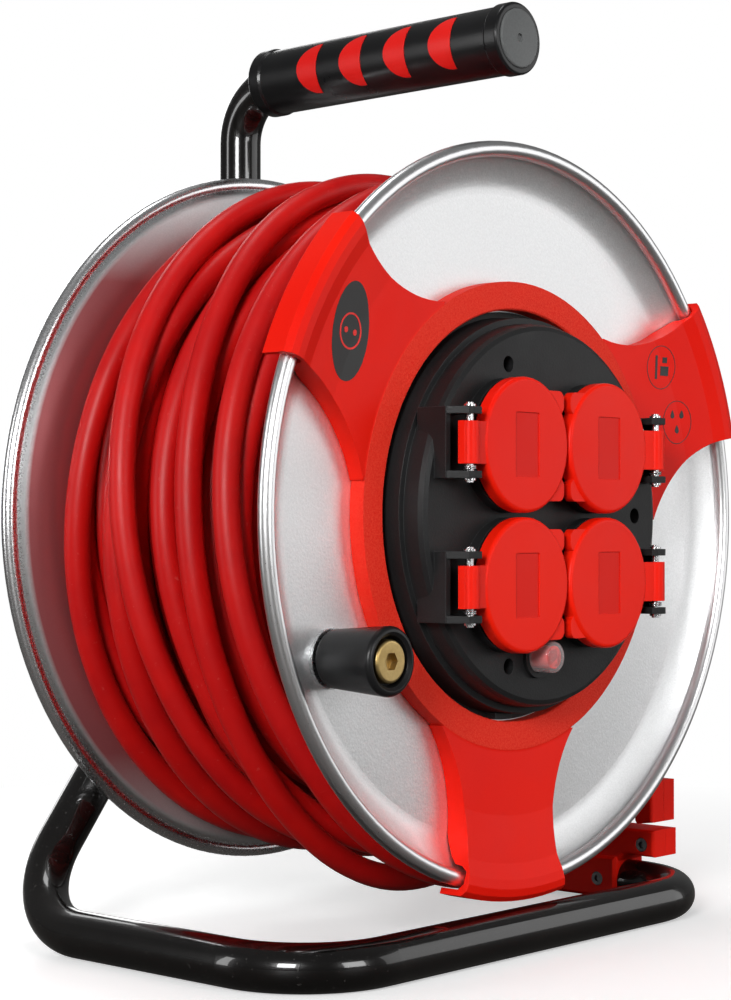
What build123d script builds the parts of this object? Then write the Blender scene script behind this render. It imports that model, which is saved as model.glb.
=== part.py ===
from build123d import *
import math
import os

os.makedirs("parts", exist_ok=True)

# ---------------------------------------------------------------- dimensions
# Frame: origin on the floor under the middle of the drum, +X right, +Y towards
# the rear post, +Z up. The socket side faces -Y. Millimetres.
AXIS_H = 169.0          # height of the drum axle
TUBE_R = 9.0            # frame tube outside radius
TUBE_WALL = 1.5
BASE_X = 124.5          # side legs, centre line
BASE_YF = -73.0         # front leg, centre line
POST_Y = 86.5           # rear post and rear legs, centre line
BEND_R = 38.0           # base corner bends
TOP_R = 24.0            # bend from post into handle
GRIP_Z = 355.5          # handle centre line
GRIP_YF, GRIP_YR = -67.5, 68.0
GRIP_R, COLLAR_R = 13.5, 14.25

FLANGE_R = 145.0        # drum flange outside radius
RIM_R = 3.1             # rolled rim section radius
RIM_Y = 68.9            # rolled rim centre plane
DISC_IN, DISC_OUT = 60.0, 61.0
CORE_R, CORE_WALL = 80.0, 1.5
ARM_ANGLES = (25.7, 145.7, -94.3)
RING_RI, RING_RO = 80.0, 91.0
COVER_R = 148.4

FACE_Y = -81.0          # socket housing front face
HOUSING_R = 77.3
SOCKET_XY = {"ul": (-26.0, 26.3), "ur": (26.0, 26.3), "ll": (-26.0, -26.3), "lr": (26.0, -26.3)}
CUP_R, RECESS_R, RECESS_DEPTH = 22.9, 19.7, 17.5
CUP_Y = -88.0
LID_R, LID_Y = 25.5, -92.0
LID_BACK = -86.6
HINGE_X, HINGE_Y = 59.0, -90.8
PIN_R = 1.5
SCREW_XZ = ((58.5, 0.0), (-23.7, 57.1), (-23.7, -57.1))
BUTTON = (-7.0, -54.0)

AXLE_R = 8.0
HUB_R, HUB_WALL = 12.5, 1.5
PLATE_T = 4.0
PLATE_Y = POST_Y - TUBE_R - PLATE_T

KNOB = (-101.5, -51.4)
KNOB_YB, KNOB_YF = -63.0, -91.0
SHANK_R = 5.0

PLUG_Z = 40.0           # parked plug centre height
PLUG_Y0 = 12.3
CABLE_R = 5.05

AXLE_LINE = Axis((0, 0, AXIS_H), (0, 1, 0))


def front(y, x=0.0, z=AXIS_H):
    """Plane facing the front: local x is +X, local y is +Z, extrusion goes to -Y."""
    return Plane(origin=(x, y, z), x_dir=(1, 0, 0), z_dir=(0, -1, 0))


def side(x=0.0, y=0.0, z=0.0):
    """Plane facing +X: local x is +Y, local y is +Z."""
    return Plane(origin=(x, y, z), x_dir=(0, 1, 0), z_dir=(1, 0, 0))


def bend(before, corner, after, radius):
    """Start, middle and end of the arc that rounds a corner of a tube's centre line."""
    v = Vector(*corner)
    a = (v - Vector(*before)).normalized()
    b = (Vector(*after) - v).normalized()
    half = math.radians(a.get_angle(b)) / 2
    t = radius * math.tan(half)
    m = (b - a).normalized() * (radius / math.cos(half) - radius)
    return v - a * t, v + m, v + b * t


def ring(points):
    """(y, r) pairs as points of a half section drawn on the plane x = 0."""
    return [(y, AXIS_H + r) for y, r in points]


# ---------------------------------------------------------------- frame
# Base: one tube, from the post down a sloping rear leg, round the floor and back up.
apex = (0.0, POST_Y, AXIS_H)


def leg_point(x, s):
    k = (BASE_X - x) / BASE_X
    return (s * x, POST_Y, TUBE_R + (AXIS_H - TUBE_R) * k)


LT, RT = leg_point(10.0, -1), leg_point(10.0, 1)
LR, RR = (-BASE_X, POST_Y, TUBE_R), (BASE_X, POST_Y, TUBE_R)
LF, RF = (-BASE_X, BASE_YF, TUBE_R), (BASE_X, BASE_YF, TUBE_R)

with BuildPart() as base_tube:
    with BuildLine() as base_path:
        b1 = bend(LT, LR, LF, BEND_R)
        b2 = bend(LR, LF, RF, BEND_R)
        b3 = bend(LF, RF, RR, BEND_R)
        b4 = bend(RF, RR, RT, BEND_R)
        Line(LT, b1[0])
        ThreePointArc(*b1)
        Line(b1[2], b2[0])
        ThreePointArc(*b2)
        Line(b2[2], b3[0])
        ThreePointArc(*b3)
        Line(b3[2], b4[0])
        ThreePointArc(*b4)
        Line(b4[2], RT)
    with BuildSketch(Plane(origin=base_path.line @ 0, z_dir=base_path.line % 0)):
        Circle(TUBE_R)
        Circle(TUBE_R - TUBE_WALL, mode=Mode.SUBTRACT)
    sweep()
    # both leg tops are coped to the post
    with BuildSketch(Plane.XY.offset(110)):
        with Locations((0, POST_Y)):
            Circle(TUBE_R)
    extrude(amount=90, mode=Mode.SUBTRACT)
    # cross hole for the holder's lower screw
    with BuildSketch(side(BASE_X - 20)):
        with Locations((-22.1, 9.8)):
            Circle(2.1)
    extrude(amount=40, mode=Mode.SUBTRACT)

# Post: one tube, up and over into the handle.
with BuildPart() as post_tube:
    with BuildLine() as post_path:
        p0 = (0, POST_Y, 140)
        c = bend(p0, (0, POST_Y, GRIP_Z), (0, -60, GRIP_Z), TOP_R)
        Line(p0, c[0])
        ThreePointArc(*c)
        Line(c[2], (0, GRIP_YF + 6, GRIP_Z))
    with BuildSketch(Plane.XY.offset(140)):
        with Locations((0, POST_Y)):
            Circle(TUBE_R)
            Circle(TUBE_R - TUBE_WALL, mode=Mode.SUBTRACT)
    sweep()
    with BuildSketch(front(POST_Y + 12)):
        Circle(4.1)
    extrude(amount=24, mode=Mode.SUBTRACT)

with BuildPart() as bearing_plate:
    with BuildSketch(front(PLATE_Y + PLATE_T)):
        with Locations((0, -8)):
            RectangleRounded(62, 62, 14)
        Circle(4.1, mode=Mode.SUBTRACT)
    extrude(amount=PLATE_T)
    chamfer(bearing_plate.faces().sort_by(Axis.Y)[0].outer_wire().edges(), 0.6)

with BuildPart() as axle:
    with BuildSketch(front(PLATE_Y)):
        Circle(AXLE_R)
    extrude(amount=PLATE_Y + 30.0)
    chamfer(axle.edges().filter_by(GeomType.CIRCLE).sort_by(Axis.Y)[0], 0.8)
    with BuildSketch(front(POST_Y + TUBE_R + 8.5)):
        Circle(4.0)
    extrude(amount=POST_Y + TUBE_R + 8.5 - PLATE_Y)
    with BuildSketch(front(-8.0)):
        Circle(4.05)
    extrude(amount=30, mode=Mode.SUBTRACT)

with BuildPart() as axle_nut:
    with BuildSketch(front(POST_Y + TUBE_R + 7.6)):
        RegularPolygon(7.5, 6)
        Circle(4.05, mode=Mode.SUBTRACT)
    extrude(amount=6.5)
    chamfer(axle_nut.faces().sort_by(Axis.Y)[-1].outer_wire().edges(), 0.5)
    with BuildSketch(front(POST_Y + TUBE_R + 1.1)):
        Circle(9.0)
        Circle(4.05, mode=Mode.SUBTRACT)
    extrude(amount=1.1)

with BuildPart() as axle_rear_washer:
    with BuildSketch(front(PLATE_Y)):
        Circle(14)
        Circle(AXLE_R + 0.1, mode=Mode.SUBTRACT)
    extrude(amount=PLATE_Y - 70.3)

with BuildPart() as axle_end_washer:
    with BuildSketch(front(-30.0)):
        Circle(14)
        Circle(4.2, mode=Mode.SUBTRACT)
    extrude(amount=2.0)

with BuildPart() as axle_end_bolt:
    with BuildSketch(front(-32.0)):
        RegularPolygon(7.5, 6)
    extrude(amount=5.0)
    chamfer(axle_end_bolt.faces().sort_by(Axis.Y)[0].outer_wire().edges(), 0.5)
    with BuildSketch(front(-9.0)):
        Circle(4.0)
    extrude(amount=23.0)

# Handle: moulded sleeve with end collars and eight half-moon inlays.
GRIP_LINE = Axis((0, 0, GRIP_Z), (0, 1, 0))
MOONS = ((28.5, 39.4), (3.9, 15.5), (-19.9, -8.7), (-43.8, -32.5))
with BuildPart() as grip_sleeve:
    with BuildSketch(side()):
        with BuildLine():
            Polyline(
                (GRIP_YR, GRIP_Z + 10.1),
                (GRIP_YR, GRIP_Z + COLLAR_R),
                (GRIP_YR - 6, GRIP_Z + COLLAR_R),
                (GRIP_YR - 7, GRIP_Z + GRIP_R),
                (GRIP_YF + 7, GRIP_Z + GRIP_R),
                (GRIP_YF + 6, GRIP_Z + COLLAR_R),
                (GRIP_YF, GRIP_Z + COLLAR_R),
                (GRIP_YF, GRIP_Z + 11.7),
                (GRIP_YF + 2, GRIP_Z + 11.7),
                (GRIP_YF + 2, GRIP_Z),
                (GRIP_YF + 5.5, GRIP_Z),
                (GRIP_YF + 5.5, GRIP_Z + 9.05),
                (GRIP_YR - 9, GRIP_Z + 9.05),
                (GRIP_YR - 9, GRIP_Z + 10.1),
                close=True,
            )
        make_face()
    revolve(axis=GRIP_LINE)
    fillet(grip_sleeve.edges().filter_by(GeomType.CIRCLE).filter_by(lambda e: abs(e.radius - COLLAR_R) < 0.01 and (abs(e.center().Y - GRIP_YR) < 0.01 or abs(e.center().Y - GRIP_YF) < 0.01)), 1.2)
    for sx in (-1, 1):
        with BuildSketch(side(sx * 5.0)):
            for y0, y1 in MOONS:
                with BuildLine():
                    ThreePointArc((y0, GRIP_Z - 10.2), (y1, GRIP_Z), (y0, GRIP_Z + 10.2))
                    Line((y0, GRIP_Z + 10.2), (y0, GRIP_Z - 10.2))
                make_face()
        extrude(amount=sx * 13.0, mode=Mode.SUBTRACT)
    with BuildSketch(side()):
        with BuildLine():
            Polyline((GRIP_YR - 12, GRIP_Z), (GRIP_YR - 12, GRIP_Z + 12.2), (GRIP_YF + 12, GRIP_Z + 12.2), (GRIP_YF + 12, GRIP_Z), close=True)
        make_face()
    revolve(axis=GRIP_LINE)
    with BuildSketch(front(GRIP_YR + 1, 0, GRIP_Z)):
        Circle(9.05)
    extrude(amount=GRIP_YR - GRIP_YF - 4.5, mode=Mode.SUBTRACT)

with BuildPart() as grip_inlays:
    for sx in (-1, 1):
        with BuildSketch(side(sx * 0.5)):
            for y0, y1 in MOONS:
                with BuildLine():
                    ThreePointArc((y0 + 0.02, GRIP_Z - 10.15), (y1 - 0.02, GRIP_Z), (y0 + 0.02, GRIP_Z + 10.15))
                    Line((y0 + 0.02, GRIP_Z + 10.15), (y0 + 0.02, GRIP_Z - 10.15))
                make_face()
        extrude(amount=sx * 20.0)
    with BuildSketch(side()):
        with BuildLine():
            Polyline((60, GRIP_Z + 12.25), (60, GRIP_Z + 13.85), (-60, GRIP_Z + 13.85), (-60, GRIP_Z + 12.25), close=True)
        make_face()
    revolve(axis=GRIP_LINE, mode=Mode.INTERSECT)

with BuildPart() as grip_end_cap:
    with BuildSketch(front(GRIP_YF + 2, 0, GRIP_Z)):
        Circle(11.6)
    extrude(amount=2.8)
    fillet(grip_end_cap.faces().sort_by(Axis.Y)[0].edges(), 0.7)
    with BuildSketch(front(GRIP_YF, 0, GRIP_Z)):
        Circle(1.7)
    extrude(amount=3, mode=Mode.SUBTRACT)

# ---------------------------------------------------------------- plug holder
# Clamshell on the right leg: tube collar, cable hook in front, plug sockets behind.
HOLDER = (
    (-31.6, 2.0), (12.0, 2.0), (12.0, 61.0), (-6.0, 61.0), (-12.5, 54.2), (-50.0, 54.2),
    (-50.0, 36.4), (-41.6, 35.2), (-40.6, 36.6), (-40.6, 43.0), (-22.0, 43.0), (-22.0, 33.0), (-50.9, 33.0),
    (-50.9, 21.4), (-34.6, 21.4), (-31.6, 18.0),
)


def holder_half(inner):
    """One half of the clamshell; inner is the half that faces the drum."""
    s = -1 if inner else 1
    with BuildPart() as half:
        with BuildSketch(side(BASE_X + s * 0.05)):
            with BuildLine():
                Polyline(*HOLDER, close=True)
            make_face()
        extrude(amount=s * 8.95)
        fillet(half.faces().sort_by(Axis.X)[0 if inner else -1].outer_wire().edges(), 1.4)
        with BuildSketch(side(BASE_X + s * 0.05)):
            with BuildLine():
                Polyline((-31.6, 2.0), (12.0, 2.0), (12.0, 20.0), (-31.6, 20.0), close=True)
            make_face()
        extrude(amount=s * 11.0)
        chamfer(half.faces().sort_by(Axis.X)[0 if inner else -1].outer_wire().edges(), 1.2)
        # channel for the leg, open at the bottom
        with BuildSketch(front(20, BASE_X, TUBE_R)):
            Circle(TUBE_R + 0.05)
        extrude(amount=60, mode=Mode.SUBTRACT)
        # blind holes that hold the plug's pins
        with BuildSketch(front(12.0, BASE_X, PLUG_Z)):
            with Locations((0, 9.5), (0, -9.5)):
                Circle(2.55)
        extrude(amount=20.0, mode=Mode.SUBTRACT)
        # two clamp screws: head side on the inner half, nut side on the outer half
        for (y, z, face) in ((-22.1, 9.8, 11.05), (-44.3, 26.4, 9.0)):
            with BuildSketch(side(BASE_X)):
                with Locations((y, z)):
                    Circle(1.8)
            extrude(amount=s * 14, mode=Mode.SUBTRACT)
            with BuildSketch(side(BASE_X + s * (face - 2.0))):
                with Locations((y, z)):
                    if inner:
                        Circle(3.1)
                    else:
                        RegularPolygon(3.6, 6)
            extrude(amount=s * 5, mode=Mode.SUBTRACT)
    return half


holder_inner = holder_half(True)
holder_outer = holder_half(False)

with BuildPart() as holder_screws:
    for (y, z, face) in ((-22.1, 9.8, 11.05), (-44.3, 26.4, 9.0)):
        with BuildSketch(side(BASE_X - face + 2.0)):
            with Locations((y, z)):
                Circle(2.9)
        extrude(amount=-1.8)
        with BuildSketch(side(BASE_X - face + 2.0)):
            with Locations((y, z)):
                Circle(1.7)
        extrude(amount=2 * face - 2.6)
        with BuildSketch(side(BASE_X - face + 0.1)):
            with Locations((y, z)):
                RegularPolygon(1.5, 6)
        extrude(amount=1.2, mode=Mode.SUBTRACT)

with BuildPart() as holder_nuts:
    for (y, z, face) in ((-22.1, 9.8, 11.05), (-44.3, 26.4, 9.0)):
        with BuildSketch(side(BASE_X + face - 2.0)):
            with Locations((y, z)):
                RegularPolygon(3.5, 6)
                Circle(1.75, mode=Mode.SUBTRACT)
        extrude(amount=1.8)

# ---------------------------------------------------------------- drum
def flange_profile(s, r_in):
    """Half section of a flange sheet: flat disc, then a smooth flare up to the rolled rim. s is the side in y."""
    p = ring([
        (s * DISC_OUT, r_in), (s * DISC_OUT, 125.4), (s * 61.6, 129.4), (s * 63.6, 134.0), (s * 67.3, 139.7),
        (s * 66.4, 140.3), (s * 62.9, 134.7), (s * 60.8, 129.9), (s * DISC_IN, 125.0), (s * DISC_IN, r_in),
    ])
    Line(p[0], p[1])
    Spline(*p[1:5], tangents=[(0, 1), (s * 0.7, 0.75)])
    Line(p[4], p[5])
    Spline(*p[5:9], tangents=[(-s * 0.7, -0.75), (0, -1)])
    Line(p[8], p[9])
    Line(p[9], p[0])


with BuildPart() as front_flange:
    with BuildSketch(side()):
        with BuildLine():
            flange_profile(-1, 72.0)
        make_face()
        with Locations((-RIM_Y, AXIS_H + FLANGE_R - RIM_R)):
            Circle(RIM_R)
            Circle(RIM_R - 1.0, mode=Mode.SUBTRACT)
    revolve(axis=AXLE_LINE)
    with BuildSketch(front(-DISC_IN + 1, KNOB[0], AXIS_H + KNOB[1])):
        Circle(4.1)
    extrude(amount=4, mode=Mode.SUBTRACT)

with BuildPart() as rear_flange:
    with BuildSketch(side()):
        with BuildLine():
            flange_profile(1, HUB_R)
        make_face()
        with Locations((RIM_Y, AXIS_H + FLANGE_R - RIM_R)):
            Circle(RIM_R)
            Circle(RIM_R - 1.0, mode=Mode.SUBTRACT)
    revolve(axis=AXLE_LINE)
    with BuildSketch(front(DISC_OUT + 1)):
        with PolarLocations(73, 6):
            Circle(2.05)
    extrude(amount=4, mode=Mode.SUBTRACT)

with BuildPart() as rear_rivets:
    with BuildSketch(front(DISC_OUT + 1.4)):
        with PolarLocations(73, 6):
            Circle(3.6)
    extrude(amount=1.4)
    fillet(rear_rivets.edges().filter_by(GeomType.CIRCLE).group_by(Axis.Y)[-1], 0.9)
    with BuildSketch(front(DISC_OUT)):
        with PolarLocations(73, 6):
            Circle(2.0)
    extrude(amount=2.6)
    with BuildSketch(front(DISC_IN - 1.2)):
        with PolarLocations(73, 6):
            Circle(3.0)
    extrude(amount=1.0)

with BuildPart() as drum_core:
    with BuildSketch(side()):
        with BuildLine():
            Polyline(
                *ring([(-DISC_IN, 72.0), (-DISC_IN, CORE_R), (DISC_IN, CORE_R), (DISC_IN, 68.0), (DISC_IN - 1.2, 68.0), (DISC_IN - 1.2, CORE_R - CORE_WALL), (-DISC_IN + 1.2, CORE_R - CORE_WALL), (-DISC_IN + 1.2, 72.0)]),
                close=True,
            )
        make_face()
    revolve(axis=AXLE_LINE)
    with BuildSketch(front(DISC_IN + 1)):
        with PolarLocations(73, 6):
            Circle(2.05)
    extrude(amount=4, mode=Mode.SUBTRACT)
    # opening for the cable's inner end
    with BuildSketch(Plane.XY.offset(AXIS_H + 60)):
        with Locations((0, 20)):
            Circle(5.6)
    extrude(amount=30, mode=Mode.SUBTRACT)

with BuildPart() as hub_tube:
    with BuildSketch(front(68)):
        Circle(HUB_R)
        Circle(HUB_R - HUB_WALL, mode=Mode.SUBTRACT)
    extrude(amount=96)

with BuildPart() as inner_bulkhead:
    with BuildSketch(front(-22.5)):
        Circle(CORE_R - CORE_WALL)
        Circle(HUB_R, mode=Mode.SUBTRACT)
        with Locations(*SCREW_XZ):
            Circle(2.0, mode=Mode.SUBTRACT)
        with Locations((0, 58)):
            Circle(7.05, mode=Mode.SUBTRACT)
    extrude(amount=1.5)

with BuildPart() as front_bush:
    with BuildSketch(side()):
        with BuildLine():
            Polyline(*ring([(-29.8, AXLE_R + 0.06), (-29.8, 14.5), (-28.0, 14.5), (-28.0, 11.0), (-10.0, 11.0), (-10.0, AXLE_R + 0.06)]), close=True)
        make_face()
    revolve(axis=AXLE_LINE)

with BuildPart() as rear_bush:
    with BuildSketch(side()):
        with BuildLine():
            Polyline(*ring([(70.1, AXLE_R + 0.06), (70.1, 14.5), (68.0, 14.5), (68.0, 11.0), (48.0, 11.0), (48.0, AXLE_R + 0.06)]), close=True)
        make_face()
    revolve(axis=AXLE_LINE)

# Red cover: ring round the socket housing and three arms that hook over the rim.
with BuildPart() as spider_cover:
    with BuildSketch(front(-DISC_OUT + 2)):
        Circle(RING_RO)
        for a in ARM_ANGLES:
            with BuildLine():
                ca, sa = math.cos(math.radians(a)), math.sin(math.radians(a))
                q = [(82, 41), (107, 28.6), (153, 35.5), (153, -35.5), (107, -28.6), (82, -41)]
                w = [(u * ca - v * sa, u * sa + v * ca) for u, v in q]
                ThreePointArc(w[0], w[1], w[2])
                Line(w[2], w[3])
                ThreePointArc(w[3], w[4], w[5])
                Line(w[5], w[0])
            make_face()
        Circle(RING_RI, mode=Mode.SUBTRACT)
    extrude(amount=26)
    # half section of the shell: low ring, rising arm, hook over the rolled rim
    with BuildSketch(side()):
        with BuildLine():
            Polyline(
                *ring([
                    (-DISC_OUT - 0.05, RING_RI), (-67.0, RING_RI), (-67.6, RING_RI + 0.6), (-67.6, 92.0), (-69.4, 116.0), (-72.4, 134.0),
                    (-74.6, 140.0), (-75.2, 143.5), (-74.6, 146.4), (-72.6, COVER_R), (-62.5, COVER_R), (-62.5, 146.0),
                    (-70.5, 146.0), (-72.6, 143.6), (-72.6, 139.0), (-70.2, 137.2), (-66.6, 136.6), (-64.4, 134.0), (-62.3, 129.6), (-61.1, 125.6),
                ]),
                close=True,
            )
        make_face()
    revolve(axis=AXLE_LINE, mode=Mode.INTERSECT)
    # the arms are hollow behind
    with BuildSketch(front(-DISC_OUT + 1)):
        for a in ARM_ANGLES:
            with Locations(Location((114.0 * math.cos(math.radians(a)), 114.0 * math.sin(math.radians(a)), 0), (0, 0, a))):
                RectangleRounded(36, 46, 4)
    extrude(amount=5.8, mode=Mode.SUBTRACT)

# Black socket housing with screw tubes, cup seats and hinge ears.
with BuildPart() as socket_housing:
    with BuildSketch(side()):
        with BuildLine():
            Polyline(
                *ring([
                    (FACE_Y, 0), (FACE_Y, 71.0), (FACE_Y + 0.8, 72.8), (FACE_Y + 2.6, 73.6), (-72.2, 74.2), (-72.0, 76.5), (-61.8, HOUSING_R),
                    (-61.8, 71.5), (-38.0, 71.5), (-38.0, 69.0), (-65.0, 69.0), (-76.0, 71.0), (FACE_Y + 2.5, 70.4), (FACE_Y + 2.5, 0),
                ]),
                close=True,
            )
        make_face()
    revolve(axis=AXLE_LINE)
    # small index tab at the lower edge
    with BuildSketch(front(-61.8)):
        with Locations((-9.0, -77.2)):
            Rectangle(10, 2.4)
    extrude(amount=5.0)
    # screw tubes
    with BuildSketch(front(-24.0)):
        with Locations(*SCREW_XZ):
            Circle(5.5)
    extrude(amount=-24.0 - FACE_Y - 1.0)
    # hinge floors and ears
    for cx, cz in SOCKET_XY.values():
        s = 1 if cx > 0 else -1
        with BuildSketch(front(FACE_Y + 5)):
            with Locations((s * 61.0, cz)):
                Rectangle(11.8, 26.0)
        extrude(amount=5.3)
        with BuildSketch(front(FACE_Y + 8)):
            with Locations((s * 66.1, cz)):
                Rectangle(2.6, 26.0)
        extrude(amount=13.5)
        for z0 in (10.4, -13.0):
            with BuildSketch(Plane.XY.offset(AXIS_H + cz + z0)):
                with BuildLine():
                    Polyline(
                        (s * 66.9, FACE_Y + 2), (s * 66.9, FACE_Y - 5.5), (s * 62.5, HINGE_Y - 2.6), (s * 60.5, HINGE_Y - 3.7),
                        (s * 56.2, HINGE_Y - 3.5), (s * 54.6, HINGE_Y - 1.6), (s * 54.6, HINGE_Y + 3.4), (s * 55.4, FACE_Y + 2), close=True,
                    )
                make_face()
                with Locations((s * HINGE_X, HINGE_Y)):
                    Circle(PIN_R, mode=Mode.SUBTRACT)
            extrude(amount=2.6)
    # raised collar round each cup
    with BuildSketch(front(FACE_Y + 0.5)):
        with Locations(*SOCKET_XY.values()):
            Circle(25.4)
    extrude(amount=4.9)
    with BuildSketch(front(FACE_Y)):
        for cx, cz in SOCKET_XY.values():
            with Locations(((60.5 if cx > 0 else -60.5), cz)):
                Rectangle(11.0, 20.8)
    extrude(amount=4.0, mode=Mode.SUBTRACT)
    # cup openings
    with BuildSketch(front(-60)):
        with Locations(*SOCKET_XY.values()):
            Circle(CUP_R)
    extrude(amount=40, mode=Mode.SUBTRACT)
    # counterbored screw holes
    with BuildSketch(front(-40.0)):
        with Locations(*SCREW_XZ):
            Circle(3.1)
    extrude(amount=50, mode=Mode.SUBTRACT)
    with BuildSketch(front(-20.0)):
        with Locations(*SCREW_XZ):
            Circle(2.1)
    extrude(amount=50, mode=Mode.SUBTRACT)
    # reset button collar and hole
    with BuildSketch(front(FACE_Y + 0.5)):
        with Locations(BUTTON):
            Circle(8.2)
    extrude(amount=2.3)
    with BuildSketch(front(-70)):
        with Locations(BUTTON):
            Circle(4.8)
    extrude(amount=20, mode=Mode.SUBTRACT)
    with BuildSketch(front(FACE_Y)):
        with Locations(BUTTON):
            Circle(6.3)
    extrude(amount=5, mode=Mode.SUBTRACT)

with BuildPart() as housing_gasket:
    with BuildSketch(front(-DISC_OUT)):
        Circle(79.5)
        Circle(72.5, mode=Mode.SUBTRACT)
    extrude(amount=0.8)

with BuildPart() as housing_screws:
    with BuildSketch(front(-40.0)):
        with Locations(*SCREW_XZ):
            Circle(2.95)
    extrude(amount=3.0)
    with BuildSketch(front(-41.5)):
        with Locations(*SCREW_XZ):
            RectangleRounded(3.6, 0.9, 0.2)
            RectangleRounded(0.9, 3.6, 0.2)
    extrude(amount=3.0, mode=Mode.SUBTRACT)
    with BuildSketch(front(-18.0)):
        with Locations(*SCREW_XZ):
            Circle(1.95)
    extrude(amount=22.0)

inserts = {}
for key, (cx, cz) in SOCKET_XY.items():
    with BuildPart() as insert:
        with BuildSketch(front(-52.0, cx, AXIS_H + cz)):
            Circle(CUP_R)
        extrude(amount=-52.0 - CUP_Y)
        chamfer(insert.faces().sort_by(Axis.Y)[0].outer_wire().edges(), 0.5)
        with BuildSketch(front(CUP_Y + RECESS_DEPTH, cx, AXIS_H + cz)):
            Circle(RECESS_R)
        extrude(amount=30, mode=Mode.SUBTRACT)
        with BuildSketch(front(-50.0, cx, AXIS_H + cz)):
            with Locations((-9.5, 0), (9.5, 0)):
                Circle(2.6)
        extrude(amount=30, mode=Mode.SUBTRACT)
        with BuildSketch(front(-50.0, cx, AXIS_H + cz)):
            with Locations((-9.5, 0), (9.5, 0)):
                Circle(3.25)
        extrude(amount=12, mode=Mode.SUBTRACT)
        # slots for the earth clips
        with BuildSketch(front(-50.0, cx, AXIS_H + cz)):
            with Locations((0, 20.0), (0, -20.0)):
                Rectangle(5.6, 2.2)
        extrude(amount=31.5, mode=Mode.SUBTRACT)
    inserts[key] = insert

with BuildPart() as earth_clips:
    with BuildSketch(front(-50.0)):
        for cx, cz in SOCKET_XY.values():
            with Locations((cx, cz + 20.3), (cx, cz - 20.3)):
                Rectangle(5.2, 1.0)
    extrude(amount=31.0)

with BuildPart() as contact_sleeves:
    with BuildSketch(front(-46.0)):
        for cx, cz in SOCKET_XY.values():
            with Locations((cx - 9.5, cz), (cx + 9.5, cz)):
                Circle(3.2)
                Circle(2.45, mode=Mode.SUBTRACT)
    extrude(amount=15.8)

with BuildPart() as live_busbar:
    with BuildSketch(front(-45.0)):
        with Locations((-35.5, 4.5), (16.5, 4.5)):
            Rectangle(7, 77)
        with Locations((-9.5, 39.5)):
            Rectangle(59, 7)
    extrude(amount=1.0)

with BuildPart() as neutral_busbar:
    with BuildSketch(front(-45.0)):
        with Locations((-16.5, -4.5), (35.5, -4.5)):
            Rectangle(7, 77)
        with Locations((9.5, -39.5)):
            Rectangle(59, 7)
    extrude(amount=1.0)

with BuildPart() as terminal_block:
    with BuildSketch(front(-43.0)):
        with Locations((0, 58)):
            RectangleRounded(28, 13, 1.5)
    extrude(amount=9.0)
    with BuildSketch(front(-44.0)):
        with Locations((-8, 58), (0, 58), (8, 58)):
            Circle(1.9)
    extrude(amount=12.0, mode=Mode.SUBTRACT)

with BuildPart() as thermal_cutout:
    with BuildSketch(front(-52.0)):
        with Locations(BUTTON):
            RectangleRounded(17, 14, 1.5)
    extrude(amount=18.8)
    with BuildSketch(front(-50.0)):
        with Locations((BUTTON[0] - 5, BUTTON[1]), (BUTTON[0] + 5, BUTTON[1])):
            Rectangle(1.0, 6.0)
    extrude(amount=3.0)
    with BuildSketch(front(-56.0)):
        with Locations(BUTTON):
            Circle(2.6)
    extrude(amount=30.0, mode=Mode.SUBTRACT)

with BuildPart() as hinge_pins:
    for cx, cz in SOCKET_XY.values():
        s = 1 if cx > 0 else -1
        with BuildSketch(Plane.XY.offset(AXIS_H + cz - 14.6)):
            with Locations((s * HINGE_X, HINGE_Y)):
                Circle(PIN_R)
        extrude(amount=29.2)
        with BuildSketch(Plane.XY.offset(AXIS_H + cz + 13.0)):
            with Locations((s * HINGE_X, HINGE_Y)):
                Circle(2.3)
        extrude(amount=0.9)
        with BuildSketch(Plane.XY.offset(AXIS_H + cz - 13.9)):
            with Locations((s * HINGE_X, HINGE_Y)):
                Circle(2.3)
        extrude(amount=0.9)

# closing springs: a coil round each pin below the lid's lug
with BuildPart() as lid_springs:
    for cx, cz in SOCKET_XY.values():
        s = 1 if cx > 0 else -1
        z0 = AXIS_H + cz - 10.05
        with BuildLine() as coil:
            Helix(pitch=0.72, height=1.6, radius=2.25, center=(s * HINGE_X, HINGE_Y, z0))
        with BuildSketch(Plane(origin=coil.line @ 0, z_dir=coil.line % 0)):
            Circle(0.3)
        sweep(is_frenet=True)

with BuildPart() as cable_winding:
    with BuildSketch(front(57.0)):
        with Locations((0, -4.0)):
            Circle(140.0)
    extrude(amount=114.0)
    fillet(cable_winding.edges().filter_by(GeomType.CIRCLE), 5.0)
    with BuildSketch(front(60.0)):
        Circle(CORE_R + 0.6)
    extrude(amount=120.0, mode=Mode.SUBTRACT)

with BuildPart() as feed_cable:
    with BuildLine() as feed_path:
        f0 = (0, 20, AXIS_H + 80.2)
        fb = bend(f0, (0, 20, AXIS_H + 58), (0, -40, AXIS_H + 58), 13.0)
        Line(f0, fb[0])
        ThreePointArc(*fb)
        Line(fb[2], (0, -42.8, AXIS_H + 58))
    with BuildSketch(Plane.XY.offset(AXIS_H + 80.2)):
        with Locations((0, 20)):
            Circle(5.0)
    sweep()

with BuildPart() as cord_gland:
    with BuildSketch(front(-14.0)):
        with Locations((0, 58)):
            RegularPolygon(10.0, 6)
    extrude(amount=8.5)
    with BuildSketch(front(-22.5)):
        with Locations((0, 58)):
            Circle(7.0)
    extrude(amount=1.5)
    with BuildSketch(front(-24.0)):
        with Locations((0, 58)):
            RegularPolygon(10.0, 6)
    extrude(amount=5.5)
    with BuildSketch(front(0.0)):
        with Locations((0, 58)):
            Circle(CABLE_R)
    extrude(amount=40, mode=Mode.SUBTRACT)

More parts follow.
